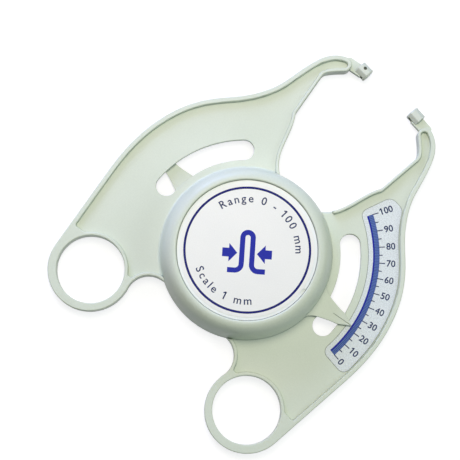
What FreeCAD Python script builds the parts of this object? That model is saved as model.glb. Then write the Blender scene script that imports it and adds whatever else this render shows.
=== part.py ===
import FreeCAD, Part
import math
import os

from FreeCAD import Vector

# A two-armed skinfold caliper, in millimetres. It lies on its back: +Z is the hub axis, z = 0 is the
# resting plane, the pivot is at the origin and the jaws point along +Y. The scale arm is on +X and
# carries the scale. The pointer arm is on -X and carries the domed hub housing and the pointer.
# Each arm is drawn in its own frame with the jaws closed: the arm lies on +X and its tip meets x = 0.

# Plan of one arm
REACH = 91.4             # pivot to the middle of a contact face
HALF_WIDTH = 66.4        # pivot line to the straight outer edge
REST_OPENING = 14.4      # angle between the arms at rest, degrees
RIM_OUTER = 1.95         # width of the raised rim along the outer edge
RIM_JAW = 1.3            # width of the raised rim along the jaw
RIM_LOOP = 1.4           # width of the raised rim between web and finger hole
RIM_NOTCH = 1.35         # width of the raised rim along the notch
POCKET_CORNER = 1.2      # corner radius of the recessed web
POCKET_END_OUT = 31.0    # pivot down to the web's lower end, at the outer edge
POCKET_END_IN = 35.6     # pivot down to the web's lower end, at the notch

# Heights of the arm mouldings
RIM_HEIGHT = 6.4
DISC_HEIGHT = 2.2        # hub disc of the scale arm
THRUST_THICKNESS = 0.3   # washer between the arms
AXIAL_GAP = 0.05         # free play in the hub stack
WEB_THICKNESS = 2.05

# Finger loop
LOOP_DROP = 42.1         # pivot line down to the loop's centre
LOOP_RADIUS = 17.4       # outside of the loop
FINGER_HOLE = 28.0       # diameter
HOLE_OFFSET = 0.3        # the hole sits this much nearer the pivot line than the loop
NOTCH_RADIUS = 9.55      # round notch between hub and loop
NOTCH_BITE = 0.2         # how far the notch cuts into the loop's outline
NOTCH_HUB_BITE = 0.25    # how far the notch cuts in under the hub's brim, beyond the hub's foot

# Curved slot in each web
SLOT_RADIUS = 43.5
SLOT_WIDTH = 8.54
SLOT_START = 5.7         # end-cap centres, degrees from the arm's own +X
SLOT_END = 54.3

# Jaw end, neck and tip
NOSE_RADIUS = 3.2
NOSE_DROP = 2.0          # nose centre below the contact's middle
NOSE_POCKET = 1.85       # radius of the recess inside the nose
NOSE_FOOT_ANGLE = 230.0  # where the hook's inner edge leaves the nose, degrees
NECK_LENGTH = 2.9        # visible neck between tip and nose
NECK_WIDTH = 4.7
NECK_DROP = 0.8          # neck's middle below the tip's middle
NECK_THICKNESS = 2.4
TIP_LENGTH = 5.4
TIP_WIDTH = 5.8          # across the flats
TIP_RISE = 0.9           # tip's middle above the reach line
TIP_ROUND = 0.9          # edge radius of the eight-sided barrel
TIP_EDGE = 0.4           # chamfer round the contact face
TIP_FACE = 1.1           # plastic left behind the contact face
TIP_SLOT_GAP = 0.15      # clearance of the neck in the tip's slot, each side
TIP_PIN = 1.5            # diameter
TIP_PIN_SETBACK = 3.1    # contact face to pin
TIP_PIN_RISE = 0.8       # pin above the tip's middle
TIP_PIN_RECESS = 0.9     # pin end below the barrel's side
PIN_CLEARANCE = 0.05     # radial, where a pin runs
CLOSED_GAP = 0.3         # between the contact faces with the jaws closed
POINTER_TIP_TILT = 11.5  # swivel of the pointer arm's tip at rest, degrees

# Hub housing
HUB_RADIUS = 35.8
HUB_HEIGHT = 17.8        # top of the dome
HUB_LEAN = 0.8           # how far the dome's wall leans in, up to its shoulder
HUB_BRIM = 0.6           # how far the dome stands out beyond its foot, over the scale arm's web
BRIM_GAP = 0.15          # above the scale arm's web
HUB_ROUND = 5.5          # width of the dome's shoulder
HUB_ROUND_HEIGHT = 8.4   # height of the dome's shoulder
HUB_WALL = 2.6           # from the inside out to the brim
HUB_EAVES = 11.8         # height inside, where the wall turns in
DOME_FOOT = 1.1          # radius of the hollow curve from the dome down to its arm's web
HUB_OVERLAP = 1.5        # how far recesses and tabs reach in under the hub's outline
HUB_CLEARANCE = 0.35     # scale arm's web to the turning housing
FLOOR_TOP = 6.0          # floor under the spring
WELL_CLEARANCE = 0.6     # bush flange to the side of the low middle of that floor
POINTER_PASSAGE = 4.2    # the jaw rim ends this far outside the hub, to let the pointer's root pass
STEP_WALL = 1.8          # wall that carries the scale arm's web up from its disc

# Pointer and the lower tab of the same plan
POINTER_OVER_LABEL = 1.9 # the pointer's tip reaches this far over the scale label
TAB_OVER_SLOT = 1.83     # the tab's end reaches this far past the slot
TAB_THICKNESS = 1.8
POINTER_THICKNESS = 1.3
POINTER_GAP = 0.15       # above the scale label
TAB_SIDES = [(3.1, 4.9), (4.7, 4.4), (7.8, 3.5), (11.4, 2.8)]  # outside the hub, half width
TAB_ROOT = 8.6           # half width where it leaves the hub

# Cap and labels
DOME_LAND = 0.7          # flat ring between the dome's shoulder and the cap's recess
CAP_THICKNESS = 1.6
CAP_SINK = 0.8           # below the top of the dome
CAP_LEDGE = 2.6          # width of the ledge that carries the cap
CAP_LEDGE_HEIGHT = 2.0
CAP_SKIRT = 1.3
CAP_CLEARANCE = 0.15
CAP_BEAD = 0.5           # snap bead under the ledge
CAP_NOTCH = 1.3          # radius of the notch for lifting the cap
CAP_NOTCH_DEPTH = 0.5
CAP_NOTCH_ANGLE = 5.0    # degrees, at rest
LABEL_THICKNESS = 0.15
SCALE_LABEL_OFF_SLOT = 3.1
SCALE_LABEL_MARGIN = 0.6 # from the rim
SCALE_LABEL_DROP = 2.7   # below the pivot line
SCALE_LABEL_TOP = 61.5
SCALE_LABEL_SIDE = 21.9  # from the pivot line, at the label's upper inner corner
SCALE_LABEL_ROUND = 3.0
SCALE_LABEL_TOP_ROUND = 3.8
SCALE_LABEL_LEAN = 15.0  # of the upper inner side, degrees

# Hub hardware
BOLT_DIAMETER = 5.0
BOLT_CLEARANCE = 0.1
BOLT_HEAD = 9.0
BOLT_HEAD_HEIGHT = 2.4
BOLT_HEAD_SINK = 0.4
BOLT_SOCKET = 3.0        # across the flats
BOLT_END = 0.5           # beyond the nut
BOSS_RADIUS = 8.0
BUSH_WALL = 2.0
BUSH_FLANGE = 2.0        # beyond the bush
BUSH_FLANGE_HEIGHT = 0.7
BUSH_CLEARANCE = 0.05    # radial
THRUST_RADIUS = 16.0
WAVE_THICKNESS = 0.45
ARBOR_FLANGE = 1.2       # from the side of the well
ARBOR_FLANGE_HEIGHT = 0.6
ARBOR_RADIUS = 7.5
ARBOR_HEIGHT = 5.1
DOWEL_DIAMETER = 2.0
DOWEL_LENGTH = 5.0
DOWEL_CIRCLE = 5.3       # radius
WASHER_DIAMETER = 12.0
WASHER_THICKNESS = 1.0
NUT_FLATS = 8.0
NUT_HEIGHT = 2.7
SLIP_THICKNESS = 0.4     # slip disc under the spring

# Spiral spring
SPRING_TURNS = 4.75
POINTS_PER_TURN = 16
SPRING_STRIP = 0.7       # thickness
SPRING_WIDTH = 4.0
SPRING_START = 115.0     # degrees
SPRING_GAP = 0.2         # above the slip disc
SPRING_SLACK = 0.02      # between the strip's ends and the arbor or the post
POST_DIAMETER = 3.0
POST_WALL_GAP = 1.63     # post to the housing's wall

WEB_BOTTOM = DISC_HEIGHT + THRUST_THICKNESS + AXIAL_GAP
WEB_TOP = WEB_BOTTOM + WEB_THICKNESS
TIP_FACE_X = CLOSED_GAP / 2
TIP_REAR_X = TIP_FACE_X + TIP_LENGTH
TIP_Y = REACH + TIP_RISE
NECK_Y = TIP_Y - NECK_DROP
NOSE_CENTRE = Vector(TIP_REAR_X + NECK_LENGTH + NOSE_RADIUS, REACH - NOSE_DROP, 0)
MID_HEIGHT = RIM_HEIGHT / 2
SAME_PLACE = 1e-6
CORNER_SHARE = 0.9       # of a short side that one rounded corner may take
OVAL = 0.5523            # handle length that makes a Bezier curve a quarter of an oval
SLOT_OUTSIDE = SLOT_RADIUS + SLOT_WIDTH / 2
SCALE_LABEL_INNER = SLOT_OUTSIDE + SCALE_LABEL_OFF_SLOT
TIP_PIN_PLACE = Vector(TIP_FACE_X + TIP_PIN_SETBACK, TIP_Y + TIP_PIN_RISE, 0)
PIN_LOW = MID_HEIGHT - TIP_WIDTH / 2 + TIP_PIN_RECESS
PIN_HIGH = MID_HEIGHT + TIP_WIDTH / 2 - TIP_PIN_RECESS
LOOP_CENTRE = Vector(HALF_WIDTH - LOOP_RADIUS, -LOOP_DROP, 0)
HOLE_CENTRE = LOOP_CENTRE - Vector(HOLE_OFFSET, 0, 0)
PASSAGE_RADIUS = HUB_RADIUS + POINTER_PASSAGE
CAP_BOTTOM = HUB_HEIGHT - CAP_SINK - CAP_THICKNESS
HUB_FOOT = HUB_RADIUS - HUB_BRIM
BRIM_BOTTOM = WEB_TOP + BRIM_GAP
HUB_SHOULDER = HUB_HEIGHT - HUB_ROUND_HEIGHT
HUB_CROWN = HUB_RADIUS - HUB_LEAN - HUB_ROUND
RECESS_RADIUS = HUB_CROWN - DOME_LAND
CAP_RADIUS = RECESS_RADIUS - CAP_CLEARANCE
LEDGE_RADIUS = RECESS_RADIUS - CAP_LEDGE
BOSS_TOP = WEB_TOP + BUSH_FLANGE_HEIGHT + WAVE_THICKNESS + 2 * AXIAL_GAP
BOLT_HOLE = BOLT_DIAMETER / 2 + BOLT_CLEARANCE
CENTRE_WELL = BOSS_RADIUS + BUSH_WALL + BUSH_FLANGE + WELL_CLEARANCE
ARBOR_TOP = BOSS_TOP + ARBOR_HEIGHT
NUT_BOTTOM = ARBOR_TOP + WASHER_THICKNESS
NUT_TOP = NUT_BOTTOM + NUT_HEIGHT
SPRING_BOTTOM = FLOOR_TOP + SLIP_THICKNESS + SPRING_GAP
SPRING_INNER = ARBOR_RADIUS + SPRING_STRIP / 2
POST_RADIUS = HUB_RADIUS - HUB_WALL - POST_WALL_GAP - POST_DIAMETER / 2
SPRING_OUTER = POST_RADIUS - POST_DIAMETER / 2 - SPRING_SLACK - SPRING_STRIP / 2
POST_ANGLE = SPRING_START + 360 * SPRING_TURNS

# Edges of an arm, in per cent of the half width and per cent of the reach
OUTER_EDGE = [
    (24.8, 99.1), (30.1, 95.4), (33.9, 90.6), (38.9, 81.5), (43.1, 73.3), (49.1, 66.2), (59.2, 58.1),
    (69.3, 51.9), (81.6, 42.5), (91.0, 30.6), (96.2, 19.7), (98.9, 9.4), (99.9, 0.0), (100.0, -9.0),
]
HOOK_EDGE = [(18.8, 92.8), (21.7, 91.0), (23.9, 89.2), (24.7, 87.0)]
JAW_CORNER = (24.7, 66.1)
JAW_FOOT = (19.7, 52.5)
JAW_ROOT = [(6.2, 74.8), (2.8, 76.1), (0.9, 77.6), (-1.2, 79.4)]  # outside the hub, degrees
UNDER_HUB = 0.66         # pivot to a corner that the hub covers, as a share of the way to the notch


def polar(radius, angle):
    a = math.radians(angle)
    return Vector(radius * math.cos(a), radius * math.sin(a), 0)


def share(point):
    return Vector(point[0] * HALF_WIDTH / 100, point[1] * REACH / 100, 0)


def spline(points):
    curve = Part.BSplineCurve()
    curve.interpolate(points)
    return curve


def shifted(curve, count, distance):
    """A curve at a distance to the right of another one, through count points."""
    points = []
    for i in range(count):
        u = curve.FirstParameter + (curve.LastParameter - curve.FirstParameter) * i / (count - 1)
        along = curve.tangent(u)[0]
        points.append(curve.value(u) + Vector(along.y, -along.x, 0) * distance)
    return spline(points)


def prism(edges, bottom, top):
    face = Part.Face(Part.Wire(Part.__sortEdges__(edges)))
    solid = face.extrude(Vector(0, 0, top - bottom))
    return solid.translated(Vector(0, 0, bottom))


def polygon(points, bottom, top):
    closed = points + points[:1]
    wire = Part.makePolygon([Vector(p[0], p[1], bottom) for p in closed])
    return Part.Face(wire).extrude(Vector(0, 0, top - bottom))


def disc(radius, bottom, top, centre=Vector(0, 0, 0)):
    return Part.makeCylinder(radius, top - bottom, Vector(centre.x, centre.y, bottom))


def ring(outer, inner, bottom, top, centre=Vector(0, 0, 0)):
    return disc(outer, bottom, top, centre).cut(disc(inner, bottom - 1, top + 1, centre))


def box(x0, x1, y0, y1, z0, z1):
    return Part.makeBox(x1 - x0, y1 - y0, z1 - z0, Vector(x0, y0, z0))


def hexagon(flats, bottom, top):
    corners = [polar(flats / math.sqrt(3), 60 * i) for i in range(6)]
    return polygon(corners, bottom, top)


def turned(shape, angle, centre=Vector(0, 0, 0)):
    copy = shape.copy()
    copy.rotate(centre, Vector(0, 0, 1), angle)
    return copy


def on_scale_side(shape):
    return turned(shape, -REST_OPENING / 2)


def on_pointer_side(shape):
    return turned(shape.mirror(Vector(0, 0, 0), Vector(1, 0, 0)), REST_OPENING / 2)


def uprights(solid):
    found = []
    for edge in solid.Edges:
        ends = [v.Point for v in edge.Vertexes]
        if len(ends) == 2 and math.hypot(ends[0].x - ends[1].x, ends[0].y - ends[1].y) < SAME_PLACE:
            found.append(edge)
    return found


def corner_limit(solid, corner):
    """The largest radius that the sides next to a corner leave room for."""
    sides = []
    for edge in solid.Edges:
        ends = [v.Point for v in edge.Vertexes]
        if len(ends) == 2 and ends[0].distanceToPoint(ends[1]) > SAME_PLACE:
            for here, u in ((ends[0], edge.FirstParameter), (ends[1], edge.LastParameter)):
                level = abs(ends[0].z - ends[1].z) < SAME_PLACE
                if level and here.distanceToPoint(corner) < SAME_PLACE:
                    away = edge.tangentAt(u) if u == edge.FirstParameter else edge.tangentAt(u) * -1
                    sides.append((edge.Length, away))
    half = sides[0][1].getAngle(sides[1][1]) / 2
    return CORNER_SHARE * min(sides[0][0], sides[1][0]) * math.tan(half)


def round_uprights(solid, radius, chosen):
    """Rounds the upright edges whose foot is chosen, as far as their neighbours allow."""
    feet = [edge.Vertexes[0].Point for edge in uprights(solid)]
    for foot in [foot for foot in feet if chosen(foot)]:
        edge = min(uprights(solid), key=lambda e: e.Vertexes[0].Point.distanceToPoint(foot))
        corner = edge.Vertexes[0].Point
        solid = solid.makeFillet(min(radius, corner_limit(solid, corner)), [edge])
    return solid


# Outline of an arm, and of the recess in its web


def outer_curve():
    start = NOSE_CENTRE + Vector(0, NOSE_RADIUS, 0)
    return spline([start] + [share(p) for p in OUTER_EDGE])


def nose_foot(radius):
    return NOSE_CENTRE + polar(radius, NOSE_FOOT_ANGLE)


def hook_curve():
    return spline([nose_foot(NOSE_RADIUS)] + [share(p) for p in HOOK_EDGE])


def root_curve():
    root = [polar(HUB_RADIUS + out, angle) for out, angle in JAW_ROOT]
    return spline([share(JAW_CORNER), share(JAW_FOOT)] + root)


def arm_outline(bottom, top, inset):
    """The jaw and web of an arm. inset is 0 for the outside and 1 for the recess in the web."""
    outer = outer_curve()
    hook = hook_curve()
    root = root_curve()
    radius = NOSE_RADIUS
    if inset:
        radius = NOSE_POCKET
        outer = shifted(outer, 20, RIM_OUTER)
        hook = shifted(hook, 8, -RIM_JAW)
        root = shifted(root, 10, -RIM_JAW)
    # Straight pieces join the curves, so that both outlines close for any rim width.
    outer_end = outer.value(outer.LastParameter)
    hook_start = hook.value(hook.FirstParameter)
    hook_end = hook.value(hook.LastParameter)
    root_start = root.value(root.FirstParameter)
    root_end = root.value(root.LastParameter)
    nose_top = outer.value(outer.FirstParameter)
    nose_left = NOSE_CENTRE - Vector(radius, 0, 0)
    low_out = Vector(outer_end.x, -LOOP_DROP, 0)
    low_in = Vector(LOOP_CENTRE.x - LOOP_RADIUS, -LOOP_DROP, 0)
    low_hub = notch_centre() * UNDER_HUB
    edges = [
        Part.Arc(nose_top, nose_left, hook_start).toShape(),
        hook.toShape(),
        Part.LineSegment(hook_end, root_start).toShape(),
        root.toShape(),
        Part.LineSegment(root_end, low_hub).toShape(),
        Part.LineSegment(low_hub, low_in).toShape(),
        Part.LineSegment(low_in, low_out).toShape(),
        Part.LineSegment(low_out, outer_end).toShape(),
        outer.toShape(),
    ]
    return prism(edges, bottom, top)


def notch_centre():
    x = LOOP_CENTRE.x - LOOP_RADIUS - NOTCH_RADIUS + NOTCH_BITE
    distance = HUB_FOOT + NOTCH_RADIUS - NOTCH_HUB_BITE
    return Vector(x, -math.sqrt(distance**2 - x**2), 0)


def recess(bottom, top):
    """The recess that leaves the rim standing round the web, as a cutting tool."""
    tool = arm_outline(bottom, top, 1)
    tool = tool.cut(disc(FINGER_HOLE / 2 + RIM_LOOP, bottom - 1, top + 1, HOLE_CENTRE))
    notch = notch_centre()
    notch_rim = disc(NOTCH_RADIUS + RIM_NOTCH, bottom - 1, top + 1, notch)
    tool = tool.cut(turned(notch_rim, 180, notch))  # its seam then lies outside the web
    below = [
        (notch.x - NOTCH_RADIUS, -POCKET_END_IN), (HOLE_CENTRE.x, -POCKET_END_IN),
        (HOLE_CENTRE.x, -POCKET_END_OUT), (HALF_WIDTH + 1, -POCKET_END_OUT),
        (HALF_WIDTH + 1, -2 * LOOP_DROP), (notch.x - NOTCH_RADIUS, -2 * LOOP_DROP),
    ]
    tool = tool.cut(polygon(below, bottom - 1, top + 1))
    tool = tool.cut(disc(HUB_RADIUS - HUB_OVERLAP, bottom - 1, top + 1))
    return tool


def rounded_recess(bottom, top):
    def low_corner(point):
        return point.y < -HUB_RADIUS / 2 and point.x > notch_centre().x

    return round_uprights(recess(bottom, top), POCKET_CORNER, low_corner)


def slot(bottom, top):
    half = SLOT_WIDTH / 2
    edges = [
        slot_side(SLOT_RADIUS - half),
        slot_side(SLOT_RADIUS + half),
        slot_cap(SLOT_START, -90),
        slot_cap(SLOT_END, 90),
    ]
    return prism(edges, bottom, top)


def slot_side(radius):
    middle = polar(radius, (SLOT_START + SLOT_END) / 2)
    return Part.Arc(polar(radius, SLOT_START), middle, polar(radius, SLOT_END)).toShape()


def slot_cap(angle, outward):
    centre = polar(SLOT_RADIUS, angle)
    half = SLOT_WIDTH / 2
    tip = centre + polar(half, angle + outward)
    return Part.Arc(centre + polar(half, angle), tip, centre - polar(half, angle)).toShape()


def neck():
    """The thin tongue that reaches from the nose into the slot of the tip, with an eye for the pin."""
    half = NECK_WIDTH / 2
    eye = TIP_PIN_SETBACK - TIP_FACE - TIP_SLOT_GAP
    low = MID_HEIGHT - NECK_THICKNESS / 2
    high = MID_HEIGHT + NECK_THICKNESS / 2
    bar = box(TIP_PIN_PLACE.x, NOSE_CENTRE.x, NECK_Y - half, NECK_Y + half, low, high)
    bar = bar.fuse(disc(eye, low, high, TIP_PIN_PLACE))
    return bar.cut(disc(TIP_PIN / 2 + PIN_CLEARANCE, low - 1, high + 1, TIP_PIN_PLACE))


def arm_plate():
    """Web, rim, loop, slot and neck: the half that both arms share."""
    plate = arm_outline(0, RIM_HEIGHT, 0)
    plate = plate.fuse(disc(LOOP_RADIUS, 0, RIM_HEIGHT, LOOP_CENTRE))
    plate = plate.cut(disc(NOTCH_RADIUS, -1, RIM_HEIGHT + 1, notch_centre()))
    plate = plate.cut(rounded_recess(WEB_TOP, RIM_HEIGHT + 1))
    plate = plate.cut(rounded_recess(-1, WEB_BOTTOM))
    plate = plate.cut(disc(FINGER_HOLE / 2, -1, RIM_HEIGHT + 1, HOLE_CENTRE))
    plate = plate.cut(slot(-1, RIM_HEIGHT + 1))
    plate = plate.fuse(neck())
    return plate.removeSplitter()


# Pointer and tab


def tab_plan(reach, pointed, bottom, top):
    """A tapering tab that points along the arm's own -X."""
    widest = Vector(-HUB_RADIUS + HUB_OVERLAP, TAB_ROOT, 0)
    sides = [Vector(-HUB_RADIUS - out, half, 0) for out, half in TAB_SIDES]
    upper = spline([widest] + sides)
    lower = upper.toShape().mirror(Vector(0, 0, 0), Vector(0, 1, 0))
    shoulder = sides[-1]
    low_shoulder = Vector(shoulder.x, -shoulder.y, 0)
    edges = [upper.toShape(), lower]
    edges.append(Part.LineSegment(widest, Vector(widest.x, -widest.y, 0)).toShape())
    if pointed:
        tip = Vector(-reach, 0, 0)
        edges.append(Part.LineSegment(shoulder, tip).toShape())
        edges.append(Part.LineSegment(tip, low_shoulder).toShape())
    else:
        edges.append(Part.Arc(shoulder, Vector(-reach, 0, 0), low_shoulder).toShape())
    return prism(edges, bottom, top)


def scale_arm():
    arm = arm_plate()
    step = HUB_FOOT + HUB_CLEARANCE
    inside = arm_outline(0, RIM_HEIGHT, 0)
    inside = inside.cut(disc(NOTCH_RADIUS, -1, RIM_HEIGHT + 1, notch_centre()))
    web_root = inside.common(disc(step + STEP_WALL, 0, WEB_TOP))
    arm = arm.fuse(web_root)
    arm = arm.cut(disc(step, DISC_HEIGHT, RIM_HEIGHT + 1))
    arm = arm.cut(disc(HUB_RADIUS + HUB_CLEARANCE, WEB_TOP, RIM_HEIGHT + 1))
    passage = disc(PASSAGE_RADIUS, WEB_TOP, RIM_HEIGHT + 1)
    passage = passage.common(box(-PASSAGE_RADIUS, PASSAGE_RADIUS, 0, PASSAGE_RADIUS, 0, 2 * RIM_HEIGHT))
    arm = arm.cut(passage)
    arm = arm.fuse(disc(HUB_RADIUS, 0, DISC_HEIGHT))
    arm = arm.fuse(tab_plan(SLOT_OUTSIDE + TAB_OVER_SLOT, False, DISC_HEIGHT - TAB_THICKNESS, DISC_HEIGHT))
    arm = arm.fuse(disc(BOSS_RADIUS, 0, BOSS_TOP))
    arm = arm.cut(disc(BOLT_HEAD / 2 + BOLT_CLEARANCE, -1, BOLT_HEAD_SINK + BOLT_HEAD_HEIGHT))
    arm = arm.cut(disc(BOLT_HOLE, -1, BOSS_TOP + 1))
    for place in dowel_places():
        arm = arm.cut(disc(DOWEL_DIAMETER / 2, BOSS_TOP - DOWEL_LENGTH / 2, BOSS_TOP + 1, place))
    return arm.removeSplitter()


def wall_radius(height):
    """The outside of the dome's leaning wall at a height."""
    return HUB_RADIUS - HUB_LEAN * (height - BRIM_BOTTOM) / (HUB_SHOULDER - BRIM_BOTTOM)


def dome_shoulder():
    """A quarter of an oval that runs on from the leaning wall and ends level at the crown."""
    rise = HUB_ROUND_HEIGHT * OVAL
    curve = Part.BezierCurve()
    curve.setPoles([
        Vector(wall_radius(HUB_SHOULDER), 0, HUB_SHOULDER),
        Vector(wall_radius(HUB_SHOULDER + rise), 0, HUB_SHOULDER + rise),
        Vector(HUB_CROWN + HUB_ROUND * OVAL, 0, HUB_HEIGHT),
        Vector(HUB_CROWN, 0, HUB_HEIGHT),
    ])
    return curve


def housing():
    """The domed hub housing with its floor, its cap recess and the bore for the bush."""
    inner = HUB_RADIUS - HUB_WALL
    roof = CAP_BOTTOM - CAP_LEDGE_HEIGHT
    shoulder = Vector(wall_radius(HUB_SHOULDER), 0, HUB_SHOULDER)
    profile = [
        Part.LineSegment(Vector(BOSS_RADIUS + BUSH_WALL, 0, WEB_BOTTOM), Vector(HUB_FOOT, 0, WEB_BOTTOM)),
        Part.LineSegment(Vector(HUB_FOOT, 0, WEB_BOTTOM), Vector(HUB_FOOT, 0, BRIM_BOTTOM)),
        Part.LineSegment(Vector(HUB_FOOT, 0, BRIM_BOTTOM), Vector(HUB_RADIUS, 0, BRIM_BOTTOM)),
        Part.LineSegment(Vector(HUB_RADIUS, 0, BRIM_BOTTOM), shoulder),
        dome_shoulder(),
        Part.LineSegment(Vector(HUB_CROWN, 0, HUB_HEIGHT), Vector(RECESS_RADIUS, 0, HUB_HEIGHT)),
        Part.LineSegment(Vector(RECESS_RADIUS, 0, HUB_HEIGHT), Vector(RECESS_RADIUS, 0, CAP_BOTTOM)),
        Part.LineSegment(Vector(RECESS_RADIUS, 0, CAP_BOTTOM), Vector(LEDGE_RADIUS, 0, CAP_BOTTOM)),
        Part.LineSegment(Vector(LEDGE_RADIUS, 0, CAP_BOTTOM), Vector(LEDGE_RADIUS, 0, roof)),
        Part.LineSegment(Vector(LEDGE_RADIUS, 0, roof), Vector(RECESS_RADIUS, 0, roof)),
        Part.LineSegment(Vector(RECESS_RADIUS, 0, roof), Vector(inner, 0, HUB_EAVES)),
        Part.LineSegment(Vector(inner, 0, HUB_EAVES), Vector(inner, 0, FLOOR_TOP)),
        Part.LineSegment(Vector(inner, 0, FLOOR_TOP), Vector(CENTRE_WELL, 0, FLOOR_TOP)),
        Part.LineSegment(Vector(CENTRE_WELL, 0, FLOOR_TOP), Vector(CENTRE_WELL, 0, WEB_TOP)),
        Part.LineSegment(Vector(CENTRE_WELL, 0, WEB_TOP), Vector(BOSS_RADIUS + BUSH_WALL, 0, WEB_TOP)),
        Part.LineSegment(
            Vector(BOSS_RADIUS + BUSH_WALL, 0, WEB_TOP), Vector(BOSS_RADIUS + BUSH_WALL, 0, WEB_BOTTOM)
        ),
    ]
    wire = Part.Wire([edge.toShape() for edge in profile])
    return Part.Face(wire).revolve(Vector(0, 0, 0), Vector(0, 0, 1), 360)


def dome_foot():
    """The hollow curve in which the dome runs out over the web of its own arm."""
    inside = HUB_RADIUS - HUB_WALL / 2
    low = (WEB_BOTTOM + WEB_TOP) / 2
    top = WEB_TOP + DOME_FOOT
    wall = wall_radius(top)
    end = wall + DOME_FOOT
    lean = (1 - math.sqrt(0.5)) * DOME_FOOT
    profile = [
        Part.LineSegment(Vector(inside, 0, low), Vector(end, 0, low)),
        Part.LineSegment(Vector(end, 0, low), Vector(end, 0, WEB_TOP)),
        Part.Arc(
            Vector(end, 0, WEB_TOP), Vector(wall + lean, 0, WEB_TOP + lean), Vector(wall, 0, top)
        ),
        Part.LineSegment(Vector(wall, 0, top), Vector(inside, 0, top)),
        Part.LineSegment(Vector(inside, 0, top), Vector(inside, 0, low)),
    ]
    wire = Part.Wire([edge.toShape() for edge in profile])
    foot = Part.Face(wire).revolve(Vector(0, 0, 0), Vector(0, 0, 1), 360)
    plan = arm_outline(0, HUB_HEIGHT, 0).cut(disc(NOTCH_RADIUS, -1, HUB_HEIGHT + 1, notch_centre()))
    return foot.common(plan).cut(slot(-1, HUB_HEIGHT))


def pointer_arm():
    arm = arm_plate()
    arm = arm.cut(disc(HUB_RADIUS - HUB_WALL / 2, -1, RIM_HEIGHT + 1))
    arm = arm.cut(disc(HUB_RADIUS + HUB_CLEARANCE, -1, WEB_BOTTOM))
    passage = disc(PASSAGE_RADIUS, -1, WEB_BOTTOM)
    passage = passage.common(box(-PASSAGE_RADIUS, PASSAGE_RADIUS, 0, PASSAGE_RADIUS, -1, RIM_HEIGHT))
    arm = arm.cut(passage)
    arm = arm.fuse(housing())
    arm = arm.fuse(dome_foot())
    low = WEB_TOP + LABEL_THICKNESS + POINTER_GAP
    pointer = tab_plan(SCALE_LABEL_INNER + POINTER_OVER_LABEL, True, low, low + POINTER_THICKNESS)
    pointer = pointer.cut(disc(HUB_RADIUS - HUB_WALL / 2, low - 1, low + POINTER_THICKNESS + 1))
    arm = arm.fuse(pointer)
    place = polar(POST_RADIUS, 180 - POST_ANGLE + REST_OPENING / 2)
    arm = arm.cut(disc(POST_DIAMETER / 2, WEB_TOP, FLOOR_TOP + 1, place))
    return arm.removeSplitter()


# Tips and their pins, in an arm's own frame


def barrel():
    across = TIP_WIDTH / 2 / math.cos(math.radians(22.5))
    corners = []
    for i in range(8):
        spot = polar(across, 22.5 + 45 * i)
        corners.append(Vector(TIP_FACE_X, TIP_Y + spot.x, MID_HEIGHT + spot.y))
    face = Part.Face(Part.makePolygon(corners + corners[:1]))
    solid = face.extrude(Vector(TIP_LENGTH, 0, 0))
    long_edges = [edge for edge in solid.Edges if edge.BoundBox.XLength > TIP_LENGTH / 2]
    solid = solid.makeFillet(TIP_ROUND, long_edges)
    ends = [edge for edge in solid.Edges if edge.BoundBox.XMax < TIP_FACE_X + 0.01]
    return solid.makeChamfer(TIP_EDGE, ends)


def tip(hole_on_top):
    gap = NECK_THICKNESS / 2 + TIP_SLOT_GAP
    body = barrel()
    front = TIP_FACE_X + TIP_FACE
    low_y, high_y = TIP_Y - TIP_WIDTH, TIP_Y + TIP_WIDTH
    body = body.cut(box(front, TIP_REAR_X + 1, low_y, high_y, MID_HEIGHT - gap, MID_HEIGHT + gap))
    low, high = PIN_LOW, PIN_HIGH
    if hole_on_top:
        high = MID_HEIGHT + TIP_WIDTH
    else:
        low = MID_HEIGHT - TIP_WIDTH
    return body.cut(disc(TIP_PIN / 2, low, high, TIP_PIN_PLACE))


def tip_pin():
    return disc(TIP_PIN / 2, PIN_LOW, PIN_HIGH, TIP_PIN_PLACE)


# Cap and labels


def cap_disc():
    roof = CAP_BOTTOM - CAP_LEDGE_HEIGHT
    skirt = LEDGE_RADIUS - CAP_CLEARANCE
    lip = roof - CAP_CLEARANCE
    cap = disc(CAP_RADIUS, CAP_BOTTOM, CAP_BOTTOM + CAP_THICKNESS)
    cap = cap.fuse(ring(skirt, skirt - CAP_SKIRT, lip - CAP_BEAD, CAP_BOTTOM))
    cap = cap.fuse(ring(LEDGE_RADIUS + CAP_BEAD, skirt - CAP_SKIRT, lip - CAP_BEAD, lip))
    top = CAP_BOTTOM + CAP_THICKNESS
    notch = disc(CAP_NOTCH, top - CAP_NOTCH_DEPTH, top + 1, polar(CAP_RADIUS, CAP_NOTCH_ANGLE))
    return cap.cut(notch).removeSplitter()


def cap_label():
    bottom = CAP_BOTTOM + CAP_THICKNESS
    return disc(CAP_RADIUS - CAP_NOTCH, bottom, bottom + LABEL_THICKNESS)


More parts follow.
